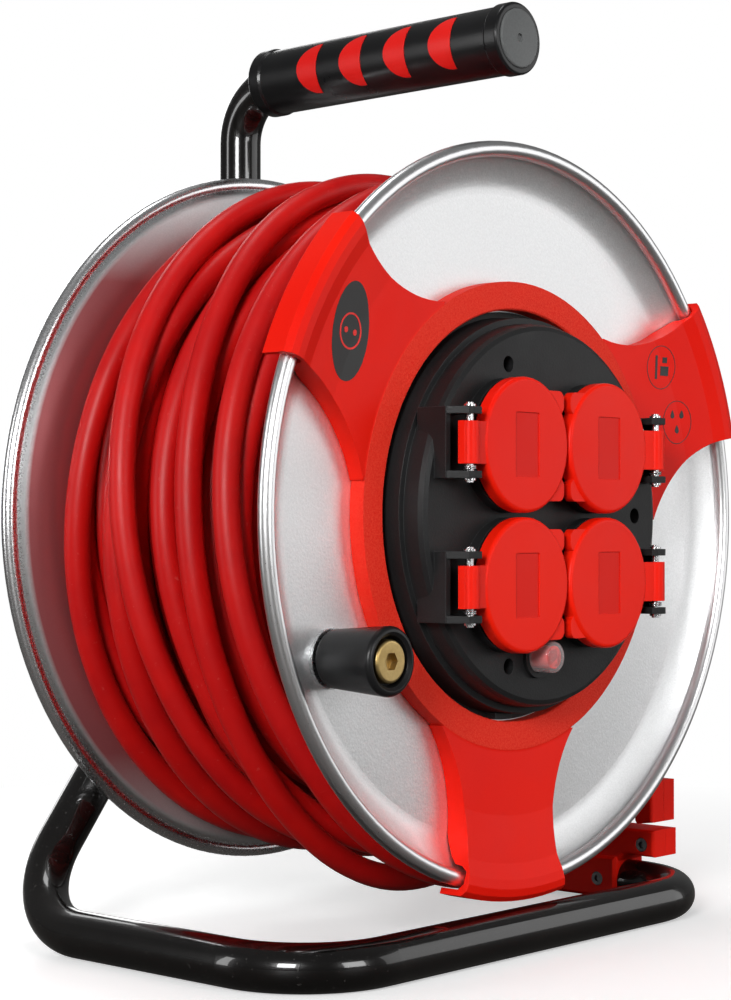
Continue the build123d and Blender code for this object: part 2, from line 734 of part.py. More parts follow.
# ---------------------------------------------------------------- crank knob
KNOB_LINE = Axis((KNOB[0], 0, AXIS_H + KNOB[1]), (0, 1, 0))
with BuildPart() as knob_sleeve:
    with BuildSketch(side(KNOB[0], 0, AXIS_H + KNOB[1])):
        with BuildLine():
            Polyline((KNOB_YB, SHANK_R + 0.06), (KNOB_YB, 9.0))
            ThreePointArc((KNOB_YB, 9.0), (KNOB_YB - 0.6, 10.2), (KNOB_YB - 2.2, 10.7))
            Polyline((KNOB_YB - 2.2, 10.7), (KNOB_YF + 2.4, 12.45))
            ThreePointArc((KNOB_YF + 2.4, 12.45), (KNOB_YF + 0.7, 12.0), (KNOB_YF, 10.4))
            Polyline((KNOB_YF, 10.4), (KNOB_YF + 1.0, 9.2), (KNOB_YF + 5.0, 9.0), (KNOB_YF + 5.0, SHANK_R + 0.06), (KNOB_YB, SHANK_R + 0.06))
        make_face()
    revolve(axis=KNOB_LINE)

with BuildPart() as knob_bolt:
    with BuildSketch(front(-61.0, KNOB[0], AXIS_H + KNOB[1])):
        Circle(SHANK_R)
    extrude(amount=-61.0 - (KNOB_YF + 4.8))
    with BuildSketch(front(KNOB_YF + 4.8, KNOB[0], AXIS_H + KNOB[1])):
        Circle(7.8)
    extrude(amount=4.2)
    fillet(knob_bolt.faces().sort_by(Axis.Y)[0].outer_wire().edges(), 1.2)
    with BuildSketch(front(-57.9, KNOB[0], AXIS_H + KNOB[1])):
        Circle(4.0)
    extrude(amount=4.0)
    with BuildSketch(front(KNOB_YF + 3.4, KNOB[0], AXIS_H + KNOB[1])):
        RegularPolygon(3.4, 6)
    extrude(amount=5.0, mode=Mode.SUBTRACT)

with BuildPart() as knob_washer:
    with BuildSketch(front(-61.0, KNOB[0], AXIS_H + KNOB[1])):
        Circle(11.0)
        Circle(SHANK_R + 0.05, mode=Mode.SUBTRACT)
    extrude(amount=1.6)

with BuildPart() as knob_nut:
    with BuildSketch(front(-57.9, KNOB[0], AXIS_H + KNOB[1])):
        Circle(8.0)
        Circle(4.05, mode=Mode.SUBTRACT)
    extrude(amount=2.1)

# ---------------------------------------------------------------- lids
lids, seals = {}, {}
for key, (cx, cz) in SOCKET_XY.items():
    s = 1 if cx > 0 else -1
    P = lambda y: front(y, cx, AXIS_H + cz)
    with BuildPart() as lid:
        with BuildSketch(P(LID_BACK)):
            Circle(LID_R)
        extrude(amount=LID_BACK - LID_Y)
        fillet(lid.faces().sort_by(Axis.Y)[0].edges(), 1.6)
        # finger ears on the inner side
        with BuildSketch(P(LID_BACK - 0.8)):
            with Locations((-s * 15.0, 16.6), (-s * 15.0, -16.6)):
                RectangleRounded(17.6, 8.8, 3.2)
        extrude(amount=3.6)
        with BuildSketch(P(-83)):
            Circle(CUP_R + 0.6)
        extrude(amount=6.8, mode=Mode.SUBTRACT)
        # lug with the hinge barrel
        with BuildSketch(Plane.XY.offset(AXIS_H + cz - 7.8)):
            with Locations((s * HINGE_X, HINGE_Y)):
                Circle(3.6)
            with BuildLine():
                Polyline((s * 49.6, -91.4), (s * 59.0, -92.9), (s * 63.6, -92.2), (s * 63.9, -89.4), (s * 59.0, -88.6), (s * 51.2, -88.2), (s * 49.6, -89.4), close=True)
            make_face()
        extrude(amount=15.6)
        with BuildSketch(Plane.XY.offset(AXIS_H + cz - 9)):
            with Locations((s * HINGE_X, HINGE_Y)):
                Circle(PIN_R + 0.06)
        extrude(amount=18, mode=Mode.SUBTRACT)
        # shallow rectangular recess
        with BuildSketch(P(LID_Y + 0.4)):
            RectangleRounded(14.4, 24.2, 0.8)
        extrude(amount=3, mode=Mode.SUBTRACT)
    lids[key] = lid
    with BuildPart() as seal:
        with BuildSketch(P(-88.25)):
            Circle(22.6)
            Circle(20.4, mode=Mode.SUBTRACT)
        extrude(amount=1.55)
    seals[key] = seal

# ---------------------------------------------------------------- reset button
BP = lambda y: front(y, BUTTON[0], AXIS_H + BUTTON[1])
with BuildPart() as reset_button:
    with BuildSketch(BP(-74.2)):
        Circle(4.4)
    extrude(amount=15.6)
    with BuildSketch(BP(-62.0)):
        Circle(2.2)
    extrude(amount=13.0)

with BuildPart() as button_cap:
    with BuildSketch(BP(-82.3)):
        Circle(6.0)
    extrude(amount=8.8)
    fillet(button_cap.faces().sort_by(Axis.Y)[0].edges(), 2.0)
    with BuildSketch(BP(-80.0)):
        Circle(4.45)
    extrude(amount=9.8, mode=Mode.SUBTRACT)

# ---------------------------------------------------------------- mains plug
with BuildPart() as plug_body:
    with BuildSketch(side(BASE_X, 0, PLUG_Z)):
        with BuildLine():
            Polyline((PLUG_Y0, 0), (PLUG_Y0, 18.0), (PLUG_Y0 + 1.0, 18.9), (PLUG_Y0 + 24.0, 18.9), (PLUG_Y0 + 27.0, 17.8), (PLUG_Y0 + 34.0, 12.0), (PLUG_Y0 + 38.0, 9.0), (PLUG_Y0 + 52.0, 7.0), (PLUG_Y0 + 52.0, 0), close=True)
        make_face()
    revolve(axis=Axis((BASE_X, 0, PLUG_Z), (0, 1, 0)))
    with BuildSketch(front(PLUG_Y0 + 60, BASE_X, PLUG_Z)):
        Circle(CABLE_R)
    extrude(amount=26.0, mode=Mode.SUBTRACT)
    # flats and slots for the side earth contacts
    with BuildSketch(front(PLUG_Y0 + 22, BASE_X, PLUG_Z)):
        with Locations((17.9, 0), (-17.9, 0)):
            Rectangle(3.0, 6.0)
    extrude(amount=30.0, mode=Mode.SUBTRACT)
    with BuildSketch(front(PLUG_Y0 + 8, BASE_X, PLUG_Z)):
        with Locations((0, 9.5), (0, -9.5)):
            Circle(2.4)
    extrude(amount=12.0, mode=Mode.SUBTRACT)

with BuildPart() as plug_pins:
    with BuildSketch(front(PLUG_Y0 + 8, BASE_X, PLUG_Z)):
        with Locations((0, 9.5), (0, -9.5)):
            Circle(2.4)
    extrude(amount=27.0)
    fillet(plug_pins.edges().filter_by(GeomType.CIRCLE).group_by(Axis.Y)[0], 1.6)

with BuildPart() as plug_earth_contacts:
    with BuildSketch(front(PLUG_Y0 + 21.9, BASE_X, PLUG_Z)):
        with Locations((17.0, 0), (-17.0, 0)):
            Rectangle(0.9, 5.6)
    extrude(amount=21.4)

with BuildPart() as plug_cable:
    with BuildLine() as tail:
        Line((BASE_X, PLUG_Y0 + 34.5, PLUG_Z), (BASE_X, PLUG_Y0 + 54.0, PLUG_Z))
        Bezier(
            (BASE_X, PLUG_Y0 + 54.0, PLUG_Z), (BASE_X, 98.0, PLUG_Z), (157.0, 92.0, 66.0),
            (160.0, 56.0, 108.0), (158.5, 22.0, 148.0), (153.5, 2.0, 178.0),
        )
    with BuildSketch(Plane(origin=tail.line @ 0, z_dir=tail.line % 0)):
        Circle(5.0)
    sweep()

# ---------------------------------------------------------------- export
NODES = dict(
    base_tube=base_tube, post_tube=post_tube, bearing_plate=bearing_plate, axle=axle, axle_nut=axle_nut,
    axle_rear_washer=axle_rear_washer, axle_end_washer=axle_end_washer, axle_end_bolt=axle_end_bolt,
    grip_sleeve=grip_sleeve, grip_inlays=grip_inlays, grip_end_cap=grip_end_cap,
    holder_inner=holder_inner, holder_outer=holder_outer, holder_screws=holder_screws, holder_nuts=holder_nuts,
    front_flange=front_flange, rear_flange=rear_flange, rear_rivets=rear_rivets, drum_core=drum_core, hub_tube=hub_tube,
    inner_bulkhead=inner_bulkhead, front_bush=front_bush, rear_bush=rear_bush, spider_cover=spider_cover,
    socket_housing=socket_housing, housing_gasket=housing_gasket, housing_screws=housing_screws,
    socket_insert_ul=inserts["ul"], socket_insert_ur=inserts["ur"], socket_insert_ll=inserts["ll"], socket_insert_lr=inserts["lr"],
    earth_clips=earth_clips, contact_sleeves=contact_sleeves, live_busbar=live_busbar, neutral_busbar=neutral_busbar,
    terminal_block=terminal_block, thermal_cutout=thermal_cutout, hinge_pins=hinge_pins, lid_springs=lid_springs,
    cable_winding=cable_winding, feed_cable=feed_cable, cord_gland=cord_gland,
    knob_sleeve=knob_sleeve, knob_bolt=knob_bolt, knob_washer=knob_washer, knob_nut=knob_nut,
    lid_ul=lids["ul"], lid_ur=lids["ur"], lid_ll=lids["ll"], lid_lr=lids["lr"],
    lid_seal_ul=seals["ul"], lid_seal_ur=seals["ur"], lid_seal_ll=seals["ll"], lid_seal_lr=seals["lr"],
    reset_button=reset_button, button_cap=button_cap,
    plug_body=plug_body, plug_pins=plug_pins, plug_earth_contacts=plug_earth_contacts, plug_cable=plug_cable,
)
for node, builder in NODES.items():
    builder.part.label = node
    export_step(builder.part, f"parts/{node}.step")
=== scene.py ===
import math
import bpy
import bmesh
import numpy as np
from mathutils import Matrix, Vector

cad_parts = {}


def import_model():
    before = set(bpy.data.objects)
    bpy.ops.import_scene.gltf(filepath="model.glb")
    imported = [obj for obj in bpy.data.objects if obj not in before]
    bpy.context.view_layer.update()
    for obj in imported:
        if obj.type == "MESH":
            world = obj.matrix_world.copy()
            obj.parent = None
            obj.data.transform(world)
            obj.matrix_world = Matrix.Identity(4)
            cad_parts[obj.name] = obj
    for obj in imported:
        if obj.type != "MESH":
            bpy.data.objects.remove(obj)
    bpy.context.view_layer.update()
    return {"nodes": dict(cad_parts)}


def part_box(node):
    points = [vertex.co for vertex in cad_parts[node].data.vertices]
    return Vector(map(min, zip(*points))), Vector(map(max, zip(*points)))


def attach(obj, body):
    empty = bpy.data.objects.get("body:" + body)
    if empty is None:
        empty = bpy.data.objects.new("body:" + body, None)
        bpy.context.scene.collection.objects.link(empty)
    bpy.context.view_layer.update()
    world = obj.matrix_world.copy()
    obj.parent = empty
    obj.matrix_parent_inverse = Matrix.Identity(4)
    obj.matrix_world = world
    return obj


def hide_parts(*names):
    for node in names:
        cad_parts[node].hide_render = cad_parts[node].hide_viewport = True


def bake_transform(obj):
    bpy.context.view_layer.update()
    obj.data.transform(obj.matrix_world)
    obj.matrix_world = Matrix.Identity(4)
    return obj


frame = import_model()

NODES = frame["nodes"]
SCENE = bpy.context.scene
H = 0.169


# ------------------------------------------------------------------ materials
class Mat:
    """A small builder for node materials, in the object's own coordinates (metres)."""

    def __init__(self, name):
        self.m = bpy.data.materials.new(name)
        self.m.use_nodes = True
        self.t = self.m.node_tree
        self.t.nodes.clear()
        self.out = self.t.nodes.new("ShaderNodeOutputMaterial")
        self.p = self.t.nodes.new("ShaderNodeBsdfPrincipled")
        self.t.links.new(self.p.outputs[0], self.out.inputs[0])
        self.co = self.t.nodes.new("ShaderNodeTexCoord").outputs["Object"]

    def link(self, a, b):
        self.t.links.new(a, b)

    def val(self, v):
        n = self.t.nodes.new("ShaderNodeValue")
        n.outputs[0].default_value = v
        return n.outputs[0]

    def scale(self, xyz, loc=(0, 0, 0)):
        n = self.t.nodes.new("ShaderNodeMapping")
        n.inputs["Scale"].default_value = xyz
        n.inputs["Location"].default_value = loc
        self.link(self.co, n.inputs["Vector"])
        return n.outputs[0]

    def noise(self, scale, detail=4.0, rough=0.55, vec=None, dist=0.0):
        n = self.t.nodes.new("ShaderNodeTexNoise")
        n.inputs["Scale"].default_value = scale
        n.inputs["Detail"].default_value = detail
        n.inputs["Roughness"].default_value = rough
        n.inputs["Distortion"].default_value = dist
        self.link(vec if vec is not None else self.co, n.inputs["Vector"])
        return n.outputs["Fac"]

    def voronoi(self, scale, feature="F1", vec=None):
        n = self.t.nodes.new("ShaderNodeTexVoronoi")
        n.feature = feature
        n.inputs["Scale"].default_value = scale
        self.link(vec if vec is not None else self.co, n.inputs["Vector"])
        return n.outputs["Distance"]

    def remap(self, x, a, b, lo, hi):
        n = self.t.nodes.new("ShaderNodeMapRange")
        n.inputs["From Min"].default_value = a
        n.inputs["From Max"].default_value = b
        n.inputs["To Min"].default_value = lo
        n.inputs["To Max"].default_value = hi
        self.link(x, n.inputs["Value"])
        return n.outputs[0]

    def math(self, op, a, b=None):
        n = self.t.nodes.new("ShaderNodeMath")
        n.operation = op
        for i, v in enumerate((a, b)):
            if v is None:
                continue
            if isinstance(v, (int, float)):
                n.inputs[i].default_value = v
            else:
                self.link(v, n.inputs[i])
        return n.outputs[0]

    def mix(self, fac, a, b):
        n = self.t.nodes.new("ShaderNodeMix")
        n.data_type = "RGBA"
        if isinstance(fac, (int, float)):
            n.inputs[0].default_value = fac
        else:
            self.link(fac, n.inputs[0])
        for i, v in ((6, a), (7, b)):
            if isinstance(v, tuple):
                n.inputs[i].default_value = (*v, 1.0) if len(v) == 3 else v
            else:
                self.link(v, n.inputs[i])
        return n.outputs[2]

    def bump(self, height, strength, distance, normal=None):
        n = self.t.nodes.new("ShaderNodeBump")
        n.inputs["Strength"].default_value = strength
        n.inputs["Distance"].default_value = distance
        self.link(height, n.inputs["Height"])
        if normal is not None:
            self.link(normal, n.inputs["Normal"])
        return n.outputs[0]

    def bevel(self, radius):
        n = self.t.nodes.new("ShaderNodeBevel")
        n.samples = 4
        n.inputs["Radius"].default_value = radius
        return n.outputs[0]

    def edge(self, bevelled):
        """1 on sharp edges, 0 on flat ground."""
        g = self.t.nodes.new("ShaderNodeNewGeometry")
        d = self.t.nodes.new("ShaderNodeVectorMath")
        d.operation = "DOT_PRODUCT"
        self.link(g.outputs["Normal"], d.inputs[0])
        self.link(bevelled, d.inputs[1])
        return self.remap(d.outputs["Value"], 1.0, 0.80, 0.0, 1.0)

    def sep(self, vec=None):
        n = self.t.nodes.new("ShaderNodeSeparateXYZ")
        self.link(vec if vec is not None else self.co, n.inputs[0])
        return n.outputs

    def radius(self):
        """Distance from the drum axle."""
        s = self.sep()
        z = self.math("SUBTRACT", s[2], H)
        return self.math("SQRT", self.math("ADD", self.math("MULTIPLY", s[0], s[0]), self.math("MULTIPLY", z, z)))

    def set(self, **kw):
        for k, v in kw.items():
            k = k.replace("_", " ")
            if isinstance(v, (int, float)):
                self.p.inputs[k].default_value = v
            elif isinstance(v, tuple):
                self.p.inputs[k].default_value = (*v, 1.0) if len(v) == 3 else v
            else:
                self.link(v, self.p.inputs[k])
        return self


def plastic(name, deep, light, rough, grain=1700.0, grain_h=0.00004, edge_r=0.0004, wear=0.25, coat=0.0, spec=0.30):
    """Moulded plastic: slow colour drift, spark-eroded grain, polished patches, rounded and slightly paler edges."""
    m = Mat(name)
    drift = m.noise(14.0, 3.0, 0.5)
    fine = m.noise(grain, 3.0, 0.6)
    cells = m.voronoi(grain * 0.8)
    smudge = m.noise(55.0, 5.0, 0.62)
    bev = m.bevel(edge_r)
    edge = m.edge(bev)
    base = m.mix(m.remap(drift, 0.3, 0.7, 0.0, 1.0), deep, light)
    base = m.mix(m.math("MULTIPLY", m.remap(fine, 0.35, 0.7, 0.0, 1.0), 0.16), base, tuple(min(1.0, c * 1.5 + 0.01) for c in light))
    base = m.mix(m.math("MULTIPLY", edge, wear), base, tuple(min(1.0, c * 1.7 + 0.03) for c in light))
    grainh = m.math("ADD", m.math("MULTIPLY", fine, 0.7), m.math("MULTIPLY", cells, 0.5))
    n = m.bump(grainh, 0.9, grain_h, bev)
    n = m.bump(m.noise(90.0, 2.0), 0.25, 0.00003, n)
    m.set(Base_Color=base, Roughness=m.remap(smudge, 0.25, 0.75, rough - 0.05, rough + 0.07), Normal=n, Coat_Weight=coat, Coat_Roughness=0.12, Specular_IOR_Level=spec)
    return m


def red_smooth(name="red_smooth"):
    return plastic(name, (0.82, 0.006, 0.001), (0.90, 0.011, 0.002), 0.42, grain=2100.0, grain_h=0.000018, coat=0.0, wear=0.18, spec=0.12).m


def spider_red():
    """Cover: smooth arms with a spark-eroded band round the housing."""
    m = plastic("red_cover", (0.82, 0.006, 0.001), (0.90, 0.011, 0.002), 0.40, grain=2100.0, grain_h=0.000018, coat=0.0, wear=0.25, spec=0.12)
    r = m.radius()
    band = m.math("MULTIPLY", m.remap(r, 0.0912, 0.0908, 0.0, 1.0), 1.0)
    old = m.p.inputs["Base Color"].links[0].from_socket
    grit = m.noise(1300.0, 4.0, 0.7)
    pale = m.mix(m.remap(grit, 0.35, 0.68, 0.0, 1.0), (0.82, 0.016, 0.006), (0.90, 0.060, 0.032))
    # the spark-eroded band inside r 91 mm is paler, gritty and rougher
    m.set(Base_Color=m.mix(band, old, pale))
    rough = m.p.inputs["Roughness"].links[0].from_socket
    mixr = m.t.nodes.new("ShaderNodeMix")
    m.link(band, mixr.inputs[0])
    m.link(rough, mixr.inputs[2])
    mixr.inputs[3].default_value = 0.58
    m.set(Roughness=mixr.outputs[0])
    oldn = m.p.inputs["Normal"].links[0].from_socket
    m.set(Normal=m.bump(m.math("MULTIPLY", grit, band), 1.0, 0.00022, oldn))
    return m.m


def lid_red():
    """Lid: the shallow panel in the middle is a shade deeper."""
    m = plastic("red_lid", (0.88, 0.008, 0.001), (0.95, 0.014, 0.002), 0.38, grain=2400.0, grain_h=0.000014, coat=0.0, wear=0.3, spec=0.14)
    s = m.sep()
    u = m.math("ABSOLUTE", m.math("SUBTRACT", m.math("ABSOLUTE", s[0]), 0.026))
    v = m.math("ABSOLUTE", m.math("SUBTRACT", m.math("ABSOLUTE", m.math("SUBTRACT", s[2], H)), 0.0263))
    panel = m.math("MULTIPLY", m.math("MULTIPLY", m.math("LESS_THAN", u, 0.0072), m.math("LESS_THAN", v, 0.0121)), m.math("LESS_THAN", s[1], -0.0912))
    base = m.p.inputs["Base Color"].links[0].from_socket
    m.set(Base_Color=m.mix(m.math("MULTIPLY", panel, 0.6), base, (0.66, 0.005, 0.001)))
    return m.m


def flange_metal(name="flange_sheet", gloss=0.0):
    """Satin galvanised sheet: fine even grain, faint turning marks, brighter polished rim."""
    m = Mat(name)
    r = m.radius()
    rim = m.remap(r, 0.1378, 0.1394, 0.0, 1.0)
    speck = m.noise(1500.0, 3.0, 0.72)
    flake = m.voronoi(850.0)
    broad = m.noise(9.0, 3.0, 0.5)
    s = m.sep()
    ang = m.math("ARCTAN2", m.math("SUBTRACT", s[2], H), s[0])
    comb = m.t.nodes.new("ShaderNodeCombineXYZ")
    m.link(m.math("MULTIPLY", r, 900.0), comb.inputs[0])
    m.link(m.math("MULTIPLY", ang, 1.2), comb.inputs[1])
    turn = m.noise(1.0, 2.0, 0.5, vec=comb.outputs[0])
    base = m.mix(m.remap(speck, 0.32, 0.68, 0.0, 1.0), (0.78, 0.785, 0.79), (0.92, 0.925, 0.93))
    base = m.mix(m.math("MULTIPLY", m.remap(broad, 0.3, 0.7, 0, 1), 0.22), base, (0.94, 0.945, 0.95))
    base = m.mix(rim, base, (0.90, 0.90, 0.91))
    metallic = 1.0
    if gloss:
        # the inner face mirrors the cable beside it, and its colour also carries a painted maroon reflection of that
        # cable, with the sheet made less metallic there; the painted reflection clears towards the top and weakens
        # towards the bottom
        geo = m.t.nodes.new("ShaderNodeNewGeometry")
        facing = m.t.nodes.new("ShaderNodeSeparateXYZ")
        m.link(geo.outputs["True Normal"], facing.inputs[0])
        side_ = m.math("MULTIPLY", m.math("LESS_THAN", s[1], 0.0668), m.math("LESS_THAN", facing.outputs[1], -0.3))
        reflection_fade_by_height = m.math("MULTIPLY", m.remap(s[2], 0.262, 0.296, 1.0, 0.0), m.remap(s[2], 0.030, 0.075, 0.25, 1.0))
        painted_reflection = m.math("MULTIPLY", m.math("MULTIPLY", side_, reflection_fade_by_height), m.remap(r, 0.1362, 0.1381, 0.93, 0.0))
        # painted reflection of the cable mixed into the base colour of the inner face
        base = m.mix(painted_reflection, base, (0.35, 0.042, 0.048))
        metallic = m.math("SUBTRACT", 1.0, m.math("MULTIPLY", side_, m.remap(r, 0.1362, 0.1384, 0.55, 0.0)))
    grain = m.math("ADD", m.math("MULTIPLY", speck, 0.8), m.math("MULTIPLY", flake, 0.5))
    grain = m.math("MULTIPLY", grain, m.math("SUBTRACT", 1.0, m.math("MULTIPLY", rim, 0.93)))
    n = m.bump(grain, 0.85 - 3.8 * gloss, 0.00006)
    n = m.bump(turn, 0.08, 0.00004, n)
    rough = m.math("SUBTRACT", m.remap(speck, 0.3, 0.7, 0.40 - gloss, 0.50 - gloss), m.math("MULTIPLY", rim, 0.13 - 0.6 * gloss))
    m.set(Base_Color=base, Metallic=metallic, Roughness=rough, Normal=n)
    return m.m


def gloss_tube():
    """Powder-coated tube: black gloss with orange peel and a few dust specks."""
    m = Mat("tube_gloss_black")
    peel = m.noise(420.0, 2.0, 0.45)
    dust = m.remap(m.noise(700.0, 1.0, 0.4), 0.70, 0.76, 0.0, 1.0)
    drift = m.noise(12.0, 3.0)
    base = m.mix(m.remap(drift, 0.3, 0.7, 0, 1), (0.0022, 0.0018, 0.0016), (0.006, 0.005, 0.0045))
    base = m.mix(m.math("MULTIPLY", dust, 0.25), base, (0.10, 0.095, 0.09))
    m.set(Base_Color=base, Roughness=m.remap(m.noise(30.0, 4.0), 0.3, 0.7, 0.16, 0.27), Normal=m.bump(peel, 0.35, 0.00006), Coat_Weight=0.8, Coat_Roughness=0.03, Specular_IOR_Level=0.3)
    return m.m


def cable_rubber(name="red_rubber"):
    """Rubber sheath: satin, fine grain, scuffs and a little bloom."""
    m = Mat(name)
    drift = m.noise(22.0, 4.0, 0.6)
    fine = m.noise(1300.0, 3.0, 0.65)
    scuff = m.remap(m.noise(160.0, 6.0, 0.72, dist=1.2), 0.62, 0.74, 0.0, 1.0)
    dust = m.remap(m.noise(430.0, 3.0, 0.6), 0.66, 0.75, 0.0, 1.0)
    base = m.mix(m.remap(drift, 0.28, 0.72, 0, 1), (0.50, 0.0035, 0.005), (0.68, 0.008, 0.006))
    base = m.mix(m.math("MULTIPLY", scuff, 0.22), base, (0.80, 0.075, 0.06))
    base = m.mix(m.math("MULTIPLY", dust, 0.18), base, (0.78, 0.20, 0.18))
    n = m.bump(fine, 0.6, 0.00005)
    n = m.bump(m.noise(240.0, 4.0, 0.6), 0.30, 0.00009, n)
    rough = m.remap(m.noise(75.0, 5.0, 0.65), 0.25, 0.75, 0.36, 0.50)
    m.set(Base_Color=base, Roughness=rough, Normal=n, Sheen_Weight=0.05, Sheen_Roughness=0.4, Sheen_Tint=(0.9, 0.15, 0.12), Specular_IOR_Level=0.30)
    return m.m


def metal(name, a, b, rough, grain=900.0, streak=None):
    m = Mat(name)
    vec = m.scale(streak) if streak else None
    g = m.noise(grain, 4.0, 0.65, vec=vec)
    tone = m.noise(60.0, 4.0, 0.6)
    bev = m.bevel(0.00025)
    edge = m.edge(bev)
    base = m.mix(m.remap(tone, 0.3, 0.7, 0, 1), a, b)
    base = m.mix(m.math("MULTIPLY", m.remap(g, 0.35, 0.7, 0, 1), 0.2), base, tuple(c * 0.72 for c in a))
    base = m.mix(m.math("MULTIPLY", edge, 0.45), base, tuple(min(1.0, c * 1.25 + 0.03) for c in b))
    m.set(Base_Color=base, Metallic=1.0, Roughness=m.remap(g, 0.3, 0.7, rough - 0.05, rough + 0.09), Normal=m.bump(g, 0.5, 0.00004, bev))
    return m.m


def clear_cap():
    """Soft clear cap: mostly see-through, milky and glossy on the skin."""
    m = Mat("clear_cap")
    smear = m.noise(260.0, 3.0)
    lw = m.t.nodes.new("ShaderNodeLayerWeight")
    lw.inputs[0].default_value = 0.35
    m.set(Base_Color=(0.95, 0.80, 0.80), Roughness=m.remap(smear, 0.3, 0.7, 0.08, 0.20), Coat_Weight=1.0, Coat_Roughness=0.06,
          Alpha=m.remap(lw.outputs["Facing"], 0.0, 1.0, 0.10, 0.55), Normal=m.bump(m.noise(500.0, 2.0), 0.3, 0.00004))
    return m.m


def ink(name, colour):
    m = Mat(name)
    speck = m.noise(2500.0, 3.0, 0.7)
    base = m.mix(m.remap(speck, 0.3, 0.7, 0, 1), colour, tuple(min(1.0, c * 2.0 + 0.008) for c in colour))
    m.set(Base_Color=base, Roughness=m.remap(speck, 0.3, 0.7, 0.42, 0.56), Normal=m.bump(speck, 0.5, 0.00002))
    return m.m


MAT = {
    "red": red_smooth(),
    "cover": spider_red(),
    "lid": lid_red(),
    "housing": plastic("black_housing", (0.007, 0.007, 0.0075), (0.016, 0.016, 0.0165), 0.46, grain=1500.0, grain_h=0.00005, wear=0.7, spec=0.24).m,
    "insert": plastic("black_insert", (0.009, 0.009, 0.010), (0.016, 0.016, 0.017), 0.36, grain=1900.0, grain_h=0.00003, wear=0.4).m,
    "knob": plastic("black_knob", (0.004, 0.004, 0.0045), (0.009, 0.009, 0.0095), 0.34, grain=1900.0, grain_h=0.00002, wear=0.6, coat=0.05).m,
    "grip": plastic("black_grip", (0.004, 0.004, 0.0045), (0.009, 0.009, 0.0095), 0.30, grain=1800.0, grain_h=0.00003, wear=0.6, coat=0.15).m,
    "inlay": plastic("red_inlay", (0.72, 0.006, 0.004), (0.82, 0.012, 0.008), 0.40, grain=1900.0, grain_h=0.00003, wear=0.2).m,
    "grey": plastic("grey_cap", (0.085, 0.09, 0.09), (0.16, 0.165, 0.165), 0.50, grain=1100.0, grain_h=0.00009, wear=0.25).m,
    "natural": plastic("natural_plastic", (0.72, 0.70, 0.63), (0.82, 0.80, 0.73), 0.45).m,
    "seal": plastic("seal_rubber", (0.010, 0.010, 0.010), (0.020, 0.020, 0.020), 0.60, grain=900.0, grain_h=0.00006, wear=0.1).m,
    "plug": plastic("plug_rubber", (0.012, 0.012, 0.013), (0.022, 0.022, 0.023), 0.52, grain=1200.0, grain_h=0.00008, wear=0.3).m,
    "flange": flange_metal(),
    # rear flange: its inner face carries a painted reflection of the cable
    "flange_rear": flange_metal("flange_sheet_rear", 0.10),
    "tube": gloss_tube(),
    "cable": cable_rubber(),
    "cable_deep": cable_rubber("red_rubber_inner"),
    "steel": metal("zinc_steel", (0.60, 0.61, 0.62), (0.76, 0.77, 0.78), 0.27),
    "pin": metal("bright_pin", (0.62, 0.62, 0.63), (0.78, 0.78, 0.79), 0.22),
    "dark_screw": metal("dark_screw", (0.10, 0.10, 0.105), (0.18, 0.18, 0.185), 0.33),
    "brass": metal("brass", (0.46, 0.31, 0.11), (0.66, 0.48, 0.21), 0.34),
    "clear": clear_cap(),
    "ink": ink("black_print", (0.010, 0.010, 0.010)),
    "print_red": ink("red_print", (0.70, 0.012, 0.008)),
}
BY_NODE = {
    "tube": ["base_tube", "post_tube", "bearing_plate"],
    "steel": ["axle", "axle_nut", "axle_rear_washer", "axle_end_washer", "axle_end_bolt", "rear_rivets", "hub_tube", "inner_bulkhead", "housing_screws", "knob_washer", "knob_nut", "holder_nuts"],
    "dark_screw": ["holder_screws"],
    "pin": ["hinge_pins", "lid_springs", "earth_clips"],
    "flange": ["front_flange", "drum_core"], "flange_rear": ["rear_flange"],
    "grip": ["grip_sleeve"], "inlay": ["grip_inlays"], "grey": ["grip_end_cap"],
    "cover": ["spider_cover"], "red": ["holder_inner", "holder_outer", "reset_button"],
    "lid": ["lid_ul", "lid_ur", "lid_ll", "lid_lr"],
    "housing": ["socket_housing", "front_bush", "rear_bush", "cord_gland", "thermal_cutout"],
    "insert": ["socket_insert_ul", "socket_insert_ur", "socket_insert_ll", "socket_insert_lr"],
    "knob": ["knob_sleeve"],
    "natural": ["terminal_block"],
    "seal": ["housing_gasket", "lid_seal_ul", "lid_seal_ur", "lid_seal_ll", "lid_seal_lr"],
    "cable": ["cable_winding", "feed_cable", "plug_cable"],
    "plug": ["plug_body"],
    "brass": ["contact_sleeves", "live_busbar", "neutral_busbar", "knob_bolt", "plug_pins", "plug_earth_contacts"],
    "clear": ["button_cap"],
}
for key, names in BY_NODE.items():
    for name in names:
        o = NODES[name]
        o.data.materials.clear()
        o.data.materials.append(MAT[key])
        for poly in o.data.polygons:
            poly.use_smooth = True
        o.data.set_sharp_from_angle(angle=math.radians(32)) if hasattr(o.data, "set_sharp_from_angle") else None
missing = set(NODES) - {n for v in BY_NODE.values() for n in v}
assert not missing, missing


# ------------------------------------------------------------------ mesh helpers
def new_mesh(name, verts, faces, material, smooth=True, angle=40):
    me = bpy.data.meshes.new(name)
    me.from_pydata([tuple(v) for v in verts], [], [tuple(f) for f in faces])
    me.update()
    o = bpy.data.objects.new(name, me)
    SCENE.collection.objects.link(o)
    me.materials.append(material)
    bm = bmesh.new()
    bm.from_mesh(me)
    bmesh.ops.recalc_face_normals(bm, faces=bm.faces)
    bm.to_mesh(me)
    bm.free()
    if smooth:
        for p in me.polygons:
            p.use_smooth = True
        if angle:
            me.set_sharp_from_angle(angle=math.radians(angle))
    return o


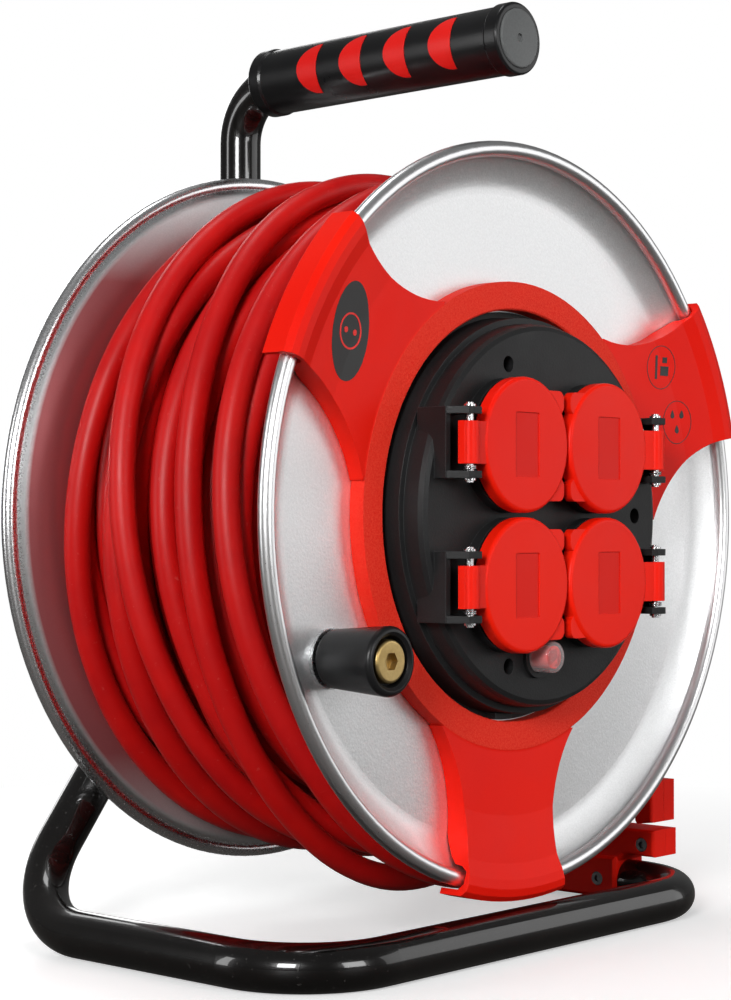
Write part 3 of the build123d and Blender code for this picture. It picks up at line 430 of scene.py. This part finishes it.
def tube(name, path, radius, material, sides=12, up=None, caps=True, closed=False):
    """A round solid along a path of points, with a frame carried along it."""
    P = np.asarray(path, float)
    n = len(P)
    T = np.gradient(P, axis=0)
    if closed:
        T = np.roll(P, -1, 0) - np.roll(P, 1, 0)
    T /= np.linalg.norm(T, axis=1)[:, None]
    if up is None:
        u = np.cross(T[0], [0.13, 0.31, 0.94])
        if np.linalg.norm(u) < 1e-3:
            u = np.cross(T[0], [1, 0, 0])
        u /= np.linalg.norm(u)
        U = [u]
        for i in range(1, n):
            u = u - T[i] * (u @ T[i])
            u /= np.linalg.norm(u)
            U.append(u)
        U = np.array(U)
    else:
        U = np.asarray(up, float)
        U = U - T * (U * T).sum(1)[:, None]
        U /= np.linalg.norm(U, axis=1)[:, None]
    W = np.cross(T, U)
    rad = np.broadcast_to(np.asarray(radius, float), (n,))
    a = np.linspace(0, 2 * math.pi, sides, endpoint=False)
    ringv = P[:, None] + rad[:, None, None] * (U[:, None] * np.cos(a)[None, :, None] + W[:, None] * np.sin(a)[None, :, None])
    verts = ringv.reshape(-1, 3)
    faces = []
    m = n if closed else n - 1
    for i in range(m):
        j = (i + 1) % n
        for k in range(sides):
            l = (k + 1) % sides
            faces.append((i * sides + k, i * sides + l, j * sides + l, j * sides + k))
    if caps and not closed:
        faces.append(tuple(range(sides))[::-1])
        faces.append(tuple((n - 1) * sides + k for k in range(sides)))
    return new_mesh(name, verts, faces, material, angle=None)


def prism(name, outlines, frame_m, thick, material):
    """Solid plates from closed outlines (lists of x, y), placed by a 4x4; one object."""
    bm = bmesh.new()
    for pts in outlines:
        bot = [bm.verts.new(frame_m @ Vector((x, y, 0))) for x, y in pts]
        top = [bm.verts.new(frame_m @ Vector((x, y, thick))) for x, y in pts]
        bm.faces.new(bot[::-1])
        bm.faces.new(top)
        k = len(pts)
        for i in range(k):
            bm.faces.new((bot[i], bot[(i + 1) % k], top[(i + 1) % k], top[i]))
    bmesh.ops.recalc_face_normals(bm, faces=bm.faces)
    me = bpy.data.meshes.new(name)
    bm.to_mesh(me)
    bm.free()
    me.materials.append(material)
    o = bpy.data.objects.new(name, me)
    SCENE.collection.objects.link(o)
    return o


def smooth_noise(s, rng, freqs, amps):
    out = np.zeros_like(s)
    for f, a in zip(freqs, amps):
        out += a * np.sin(2 * math.pi * f * s + rng.uniform(0, 2 * math.pi))
    return out


def gauss(x, sigma):
    k = int(4 * sigma + 1)
    w = np.exp(-0.5 * (np.arange(-k, k + 1) / sigma) ** 2)
    w /= w.sum()
    return np.convolve(np.pad(x, k, mode="edge"), w, mode="valid")


# ------------------------------------------------------------------ wound cable
PER = 180                       # points per turn
CAB = 5.05                      # cable radius, mm


def wind():
    """Winds one cable turn by turn: each new turn lies on whatever is already under it.
    Returns theta, y and r in millimetres about the drum axle."""
    rng = np.random.default_rng(136)
    legs = [  # turns, y from, y to, wander, slack at the bottom
        (9, 57.0, -57.0, 0.6, 0.0),
        (9, -60.0, 60.0, 2.0, 0.4),
        (5, 50.0, -60.0, 8.0, 4.0),
        (5, -62.0, 44.0, 12.0, 9.0),
    ]
    ys, slack = [], []
    for turns, a, b, wander, sag in legs:
        s = np.arange(turns * PER) / PER
        y = a + (b - a) * s / turns
        y = y + smooth_noise(s, rng, (0.37, 0.83, 1.31, 2.07), (wander, wander * 0.8, wander * 0.45, wander * 0.2))
        ys.append(y)
        slack.append(np.full(len(s), float(sag)) * (0.6 + 0.4 * np.sin(2 * math.pi * 0.29 * s + rng.uniform(0, 6))))
    y = np.clip(gauss(np.concatenate(ys), 10), -54.4, 54.4)
    slack = gauss(np.concatenate(slack), 20)
    n = len(y)
    theta = -2 * math.pi * np.arange(n) / PER + math.radians(60)
    base = 102.0
    D = 2 * CAB * 0.985
    r = np.zeros(n)
    turns = n // PER
    for t in range(turns):
        i0, i1 = t * PER, (t + 1) * PER
        req = np.full(PER, base)
        for j in range(t):
            yj, rj = y[j * PER:(j + 1) * PER], r[j * PER:(j + 1) * PER]
            dy = np.abs(y[i0:i1] - yj)
            lift = np.where(dy < D, rj + np.sqrt(np.maximum(D * D - dy * dy, 0)), 0)
            req = np.maximum(req, lift)
        ang = np.mod(theta[i0:i1], 2 * math.pi)
        low = np.maximum(0, np.cos(ang - 1.5 * math.pi)) ** 2
        req = req + slack[i0:i1] * low
        pre = r[max(0, i0 - 90):i0]
        x = np.concatenate([pre, req]) if t else req.copy()
        hard = x.copy()
        for _ in range(24):
            x = np.maximum(hard - 0.25, gauss(x, 5))
            if t:
                x[:len(pre)] = pre
        r[i0:i1] = x[len(pre):] if t else x
    r = gauss(r, 3)
    k = np.linspace(0, 1, 50)           # the outer end is tucked under its neighbours
    r[-50:] -= 15.0 * k * k * (3 - 2 * k)
    return theta, y, r


def place(theta, y, r):
    return np.stack([r * np.cos(theta), y, r * np.sin(theta)], 1) / 1000 + np.array([0, 0, H])


theta, wy, wr = wind()
over = wr.max() + CAB
wpath = place(theta, wy, wr)
up = np.stack([np.cos(theta), np.zeros(len(theta)), np.sin(theta)], 1)
winding = tube("cable_winding_strands", wpath, CAB / 1000, MAT["cable"], sides=14, up=up)
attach(winding, "drum")
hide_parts("cable_winding")


def ring_solid(name, section, material, n=160):
    """A closed ring about the drum axle from a section of (y, r) points in metres."""
    k = len(section)
    verts, faces = [], []
    for i in range(n):
        a = 2 * math.pi * i / n
        for y, r in section:
            verts.append((r * math.cos(a), y, H + r * math.sin(a)))
    for i in range(n):
        j = (i + 1) % n
        for q in range(k):
            w = (q + 1) % k
            faces.append((i * k + q, i * k + w, j * k + w, j * k + q))
    return new_mesh(name, verts, faces, material)


inner = ring_solid("cable_winding_inner", [(-0.0572, 0.0812), (-0.0572, 0.1000), (-0.0560, 0.1012), (0.0560, 0.1012), (0.0572, 0.1000), (0.0572, 0.0812)], MAT["cable_deep"])
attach(inner, "drum")
print("winding outer radius", round(float(over), 1), "mean top layer", round(float(wr[-3 * PER:].mean() + CAB), 1))


# ------------------------------------------------------------------ plug tail
def bezier(P, n):
    P = np.asarray(P, float)
    k = len(P) - 1
    t = np.linspace(0, 1, n)[:, None]
    return sum(math.comb(k, i) * (1 - t) ** (k - i) * t ** i * P[i] for i in range(k + 1))


lo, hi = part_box("plug_body")
cx, cz, y1 = (lo.x + hi.x) / 2, (lo.z + hi.z) / 2, hi.y
tail = bezier([(cx, y1 + 0.002, cz), (cx, 0.098, cz), (0.157, 0.092, 0.066), (0.160, 0.056, 0.108), (0.1585, 0.022, 0.148), (0.1535, 0.002, 0.178)], 90)
a0 = math.atan2(tail[-1][2] - H, tail[-1][0])
arc = []
for i in range(1, 40):
    k = i / 39
    a = a0 + math.radians(46) * k
    rr = 0.1537 - 0.0125 * (k * k * (3 - 2 * k)) - 0.004 * k
    arc.append((rr * math.cos(a), tail[-1][1] - 0.016 * k, H + rr * math.sin(a)))
tail = np.vstack([[(cx, y1 - 0.018, cz)], tail, arc])
d = np.r_[0, np.cumsum(np.linalg.norm(np.diff(tail, axis=0), axis=1))]
q = np.linspace(0, d[-1], 170)
tail = np.stack([np.interp(q, d, tail[:, i]) for i in range(3)], 1)
tail_o = tube("plug_tail", tail, CAB / 1000, MAT["cable"], sides=16)
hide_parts("plug_cable")
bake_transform(tail_o)


# ------------------------------------------------------------------ prints and small details
def front_frame(x, y, z, turn=0.0, tilt=0.0):
    """Local x to +X, local y to +Z, out of the face to -Y; metres; turn in degrees."""
    m = Matrix(((1, 0, 0, x), (0, 0, -1, y), (0, 1, 0, z), (0, 0, 0, 1)))
    return m @ Matrix.Rotation(math.radians(turn), 4, "Z") @ Matrix.Rotation(math.radians(tilt), 4, "Y")


def ellipse(a, b, n=64, cx=0.0, cy=0.0):
    return [(cx + a * math.cos(2 * math.pi * i / n), cy + b * math.sin(2 * math.pi * i / n)) for i in range(n)]


def arm_height(r):
    """Front surface of the cover's arm at radius r, as y in metres."""
    pts = [(0.0800, -0.0676), (0.0920, -0.0676), (0.1160, -0.0694), (0.1340, -0.0724), (0.1400, -0.0746), (0.1435, -0.0752)]
    return float(np.interp(r, [p[0] for p in pts], [p[1] for p in pts]))


def drape(name, plates, rings, x0, z0, turn, material, top=0.00012):
    """A print on a cover arm: thin closed plates and closed rings whose faces follow the arm 0.12 mm above it.
    Coordinates in metres about the print's middle (x0, z0 from the axle), turned by turn degrees."""
    ca, sa = math.cos(math.radians(turn)), math.sin(math.radians(turn))
    bm = bmesh.new()

    def world(u, v, lift):
        x, z = x0 + u * ca - v * sa, z0 + u * sa + v * ca
        return Vector((x, arm_height(math.hypot(x, z)) - lift, H + z))

    def quads(loops):
        n = len(loops[0])
        for p, q in zip(loops, loops[1:] + loops[:1]):
            for i in range(n):
                j = (i + 1) % n
                bm.faces.new((p[i], p[j], q[j], q[i]))

    for pts in plates:                      # convex outline, filled as nested rings so that it can bend
        c = (sum(p[0] for p in pts) / len(pts), sum(p[1] for p in pts) / len(pts))
        stack = {}
        for lift in (-0.0002, top):
            rows = []
            for f in (1.0, 0.75, 0.5, 0.25):
                rows.append([bm.verts.new(world(c[0] + (u - c[0]) * f, c[1] + (v - c[1]) * f, lift)) for u, v in pts])
            mid = bm.verts.new(world(c[0], c[1], lift))
            stack[lift] = rows
            n = len(pts)
            for p, q in zip(rows, rows[1:]):
                for i in range(n):
                    j = (i + 1) % n
                    bm.faces.new((p[i], p[j], q[j], q[i]))
            for i in range(n):
                bm.faces.new((rows[-1][i], rows[-1][(i + 1) % n], mid))
        lo_, hi_ = stack[-0.0002][0], stack[top][0]
        for i in range(n):
            j = (i + 1) % n
            bm.faces.new((lo_[i], lo_[j], hi_[j], hi_[i]))
    for outer, inner_ in rings:
        loops = [[bm.verts.new(world(u, v, lift)) for u, v in pts] for pts, lift in ((outer, -0.0002), (outer, top), (inner_, top), (inner_, -0.0002))]
        quads(loops)
    bmesh.ops.recalc_face_normals(bm, faces=bm.faces)
    me = bpy.data.meshes.new(name)
    bm.to_mesh(me)
    bm.free()
    me.materials.append(material)
    o = bpy.data.objects.new(name, me)
    SCENE.collection.objects.link(o)
    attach(o, "drum")
    return o


def hoop(ro, ri, n=64, cx=0.0, cy=0.0):
    return (ellipse(ro, ro, n, cx, cy), ellipse(ri, ri, n, cx, cy))


def bar(w, h, cx=0.0, cy=0.0, turn=0.0):
    ca, sa = math.cos(math.radians(turn)), math.sin(math.radians(turn))
    return [(cx + u * ca - v * sa, cy + u * sa + v * ca) for u, v in ((-w / 2, -h / 2), (w / 2, -h / 2), (w / 2, h / 2), (-w / 2, h / 2))]


def drop(k, cx, cy):
    pts = []
    for i in range(24):
        a = 2 * math.pi * i / 24
        pts.append((cx + k * math.cos(a) * (1.0 if math.sin(a) < 0 else 1 - 0.55 * math.sin(a)), cy + k * math.sin(a) * (1.0 if math.sin(a) < 0 else 1.7)))
    return pts


# plain oval plate with a generic outlet symbol, left arm
drape("arm_oval_plate", [ellipse(0.0108, 0.0180)], [], -0.1006, 0.0652, -8.0, MAT["ink"])
drape("arm_oval_symbol", [ellipse(0.0011, 0.0011, 16, -0.0028, 0.0), ellipse(0.0011, 0.0011, 16, 0.0028, 0.0)], [hoop(0.0066, 0.0059)], -0.1006, 0.0652, -8.0, MAT["print_red"], top=0.00026)
# two round outlines with generic symbols, right arm
drape("arm_round_upper", [bar(0.0014, 0.0100, -0.0030, 0.0), bar(0.0052, 0.0040, 0.0024, -0.0014), bar(0.0028, 0.0024, 0.0024, 0.0032)], [hoop(0.0092, 0.0089)], 0.0946, 0.0627, 0.0, MAT["ink"])
drape("arm_round_lower", [drop(0.0013, -0.0030, 0.0028), drop(0.0013, 0.0030, 0.0030), drop(0.0013, 0.0002, -0.0034)], [hoop(0.0092, 0.0089)], 0.1064, 0.0400, 0.0, MAT["ink"])


# ------------------------------------------------------------------ stage, light, camera
def area(name, loc, target, size, power, colour=(1, 1, 1), size_y=None):
    d = bpy.data.lights.new(name, "AREA")
    d.energy = power
    d.color = colour
    d.size = size
    if size_y:
        d.shape = "RECTANGLE"
        d.size_y = size_y
    o = bpy.data.objects.new(name, d)
    SCENE.collection.objects.link(o)
    o.location = loc
    o.rotation_euler = (Vector(target) - Vector(loc)).to_track_quat("-Z", "Y").to_euler()
    return o


def floor_material():
    """Pale floor: white to the camera and fading to plain white away from the object, dim in reflections."""
    m = Mat("floor_pale")
    s_ = m.sep()
    rr = m.math("SQRT", m.math("ADD", m.math("MULTIPLY", s_[0], s_[0]), m.math("MULTIPLY", s_[1], s_[1])))
    far = m.remap(rr, 0.22, 0.55, 0.0, 1.0)
    lpth = m.t.nodes.new("ShaderNodeLightPath")
    grain = m.remap(m.noise(60.0, 4.0), 0.3, 0.7, 0.95, 1.0)
    base = m.mix(lpth.outputs["Is Camera Ray"], (0.10, 0.095, 0.09), (0.86, 0.86, 0.86))
    m.set(Base_Color=base, Roughness=m.remap(grain, 0.95, 1.0, 0.5, 0.6), Specular_IOR_Level=0.1, Emission_Color=(1.0, 1.0, 1.0), Emission_Strength=m.math("MULTIPLY", lpth.outputs["Is Camera Ray"], 0.42))
    em = m.t.nodes.new("ShaderNodeEmission")
    em.inputs[1].default_value = 1.0
    mixs = m.t.nodes.new("ShaderNodeMixShader")
    m.link(m.math("MULTIPLY", far, lpth.outputs["Is Camera Ray"]), mixs.inputs[0])
    m.link(m.p.outputs[0], mixs.inputs[1])
    m.link(em.outputs[0], mixs.inputs[2])
    m.link(mixs.outputs[0], m.out.inputs[0])
    return m.m


floor = new_mesh("floor", [(-12, -12, 0), (12, -12, 0), (12, 12, 0), (-12, 12, 0)], [(0, 1, 2, 3)], floor_material(), angle=None)

world = bpy.data.worlds.new("studio")
SCENE.world = world
world.use_nodes = True
wt = world.node_tree
wt.nodes.clear()
wo = wt.nodes.new("ShaderNodeOutputWorld")
bg_cam = wt.nodes.new("ShaderNodeBackground")
bg_cam.inputs[0].default_value = (1, 1, 1, 1)
bg_cam.inputs[1].default_value = 1.0
bg_env = wt.nodes.new("ShaderNodeBackground")
tc = wt.nodes.new("ShaderNodeTexCoord")
sepn = wt.nodes.new("ShaderNodeSeparateXYZ")
wt.links.new(tc.outputs["Generated"], sepn.inputs[0])
ramp = wt.nodes.new("ShaderNodeValToRGB")
ramp.color_ramp.elements[0].position = 0.40
ramp.color_ramp.elements[0].color = (0.42, 0.42, 0.42, 1)
ramp.color_ramp.elements[1].position = 0.95
ramp.color_ramp.elements[1].color = (0.95, 0.95, 0.95, 1)
mr = wt.nodes.new("ShaderNodeMapRange")
mr.inputs["From Min"].default_value = -1.0
wt.links.new(sepn.outputs[2], mr.inputs["Value"])
wt.links.new(mr.outputs[0], ramp.inputs[0])
wt.links.new(ramp.outputs[0], bg_env.inputs[0])
bg_env.inputs[1].default_value = 0.16
lp = wt.nodes.new("ShaderNodeLightPath")
mx = wt.nodes.new("ShaderNodeMixShader")
wt.links.new(lp.outputs["Is Camera Ray"], mx.inputs[0])
wt.links.new(bg_env.outputs[0], mx.inputs[1])
wt.links.new(bg_cam.outputs[0], mx.inputs[2])
wt.links.new(mx.outputs[0], wo.inputs[0])

C = (0, 0, 0.19)
area("key", (-1.65, -0.80, 0.70), C, 0.50, 24)
area("front", (-0.15, -1.9, 0.60), C, 0.7, 11.5)
area("left_strip", (-1.5, 0.9, 0.45), C, 0.30, 5.0, size_y=1.0)
area("right_box", (1.45, -1.35, 0.40), C, 1.5, 9.0)
area("top", (0.0, 0.2, 1.7), C, 0.45, 4.0)
area("back_rim", (0.8, 1.7, 0.8), C, 1.2, 13)

cam = bpy.data.cameras.new("camera")
cam.sensor_width = 36.0
cam.lens = 79.87
cam.clip_start, cam.clip_end = 0.01, 60
camo = bpy.data.objects.new("camera", cam)
SCENE.collection.objects.link(camo)
az, pitch = math.radians(48.1), math.radians(-0.7)
fwd = Vector((math.sin(az) * math.cos(pitch), math.cos(az) * math.cos(pitch), -math.sin(pitch)))
right = Vector((math.cos(az), -math.sin(az), 0))
upv = right.cross(fwd)
camo.matrix_world = Matrix(((right.x, upv.x, -fwd.x, -0.6833), (right.y, upv.y, -fwd.y, -0.6002), (right.z, upv.z, -fwd.z, 0.1645), (0, 0, 0, 1)))
SCENE.camera = camo
SCENE.view_settings.view_transform = "Standard"
SCENE.view_settings.look = "None"

bpy.context.view_layer.update()
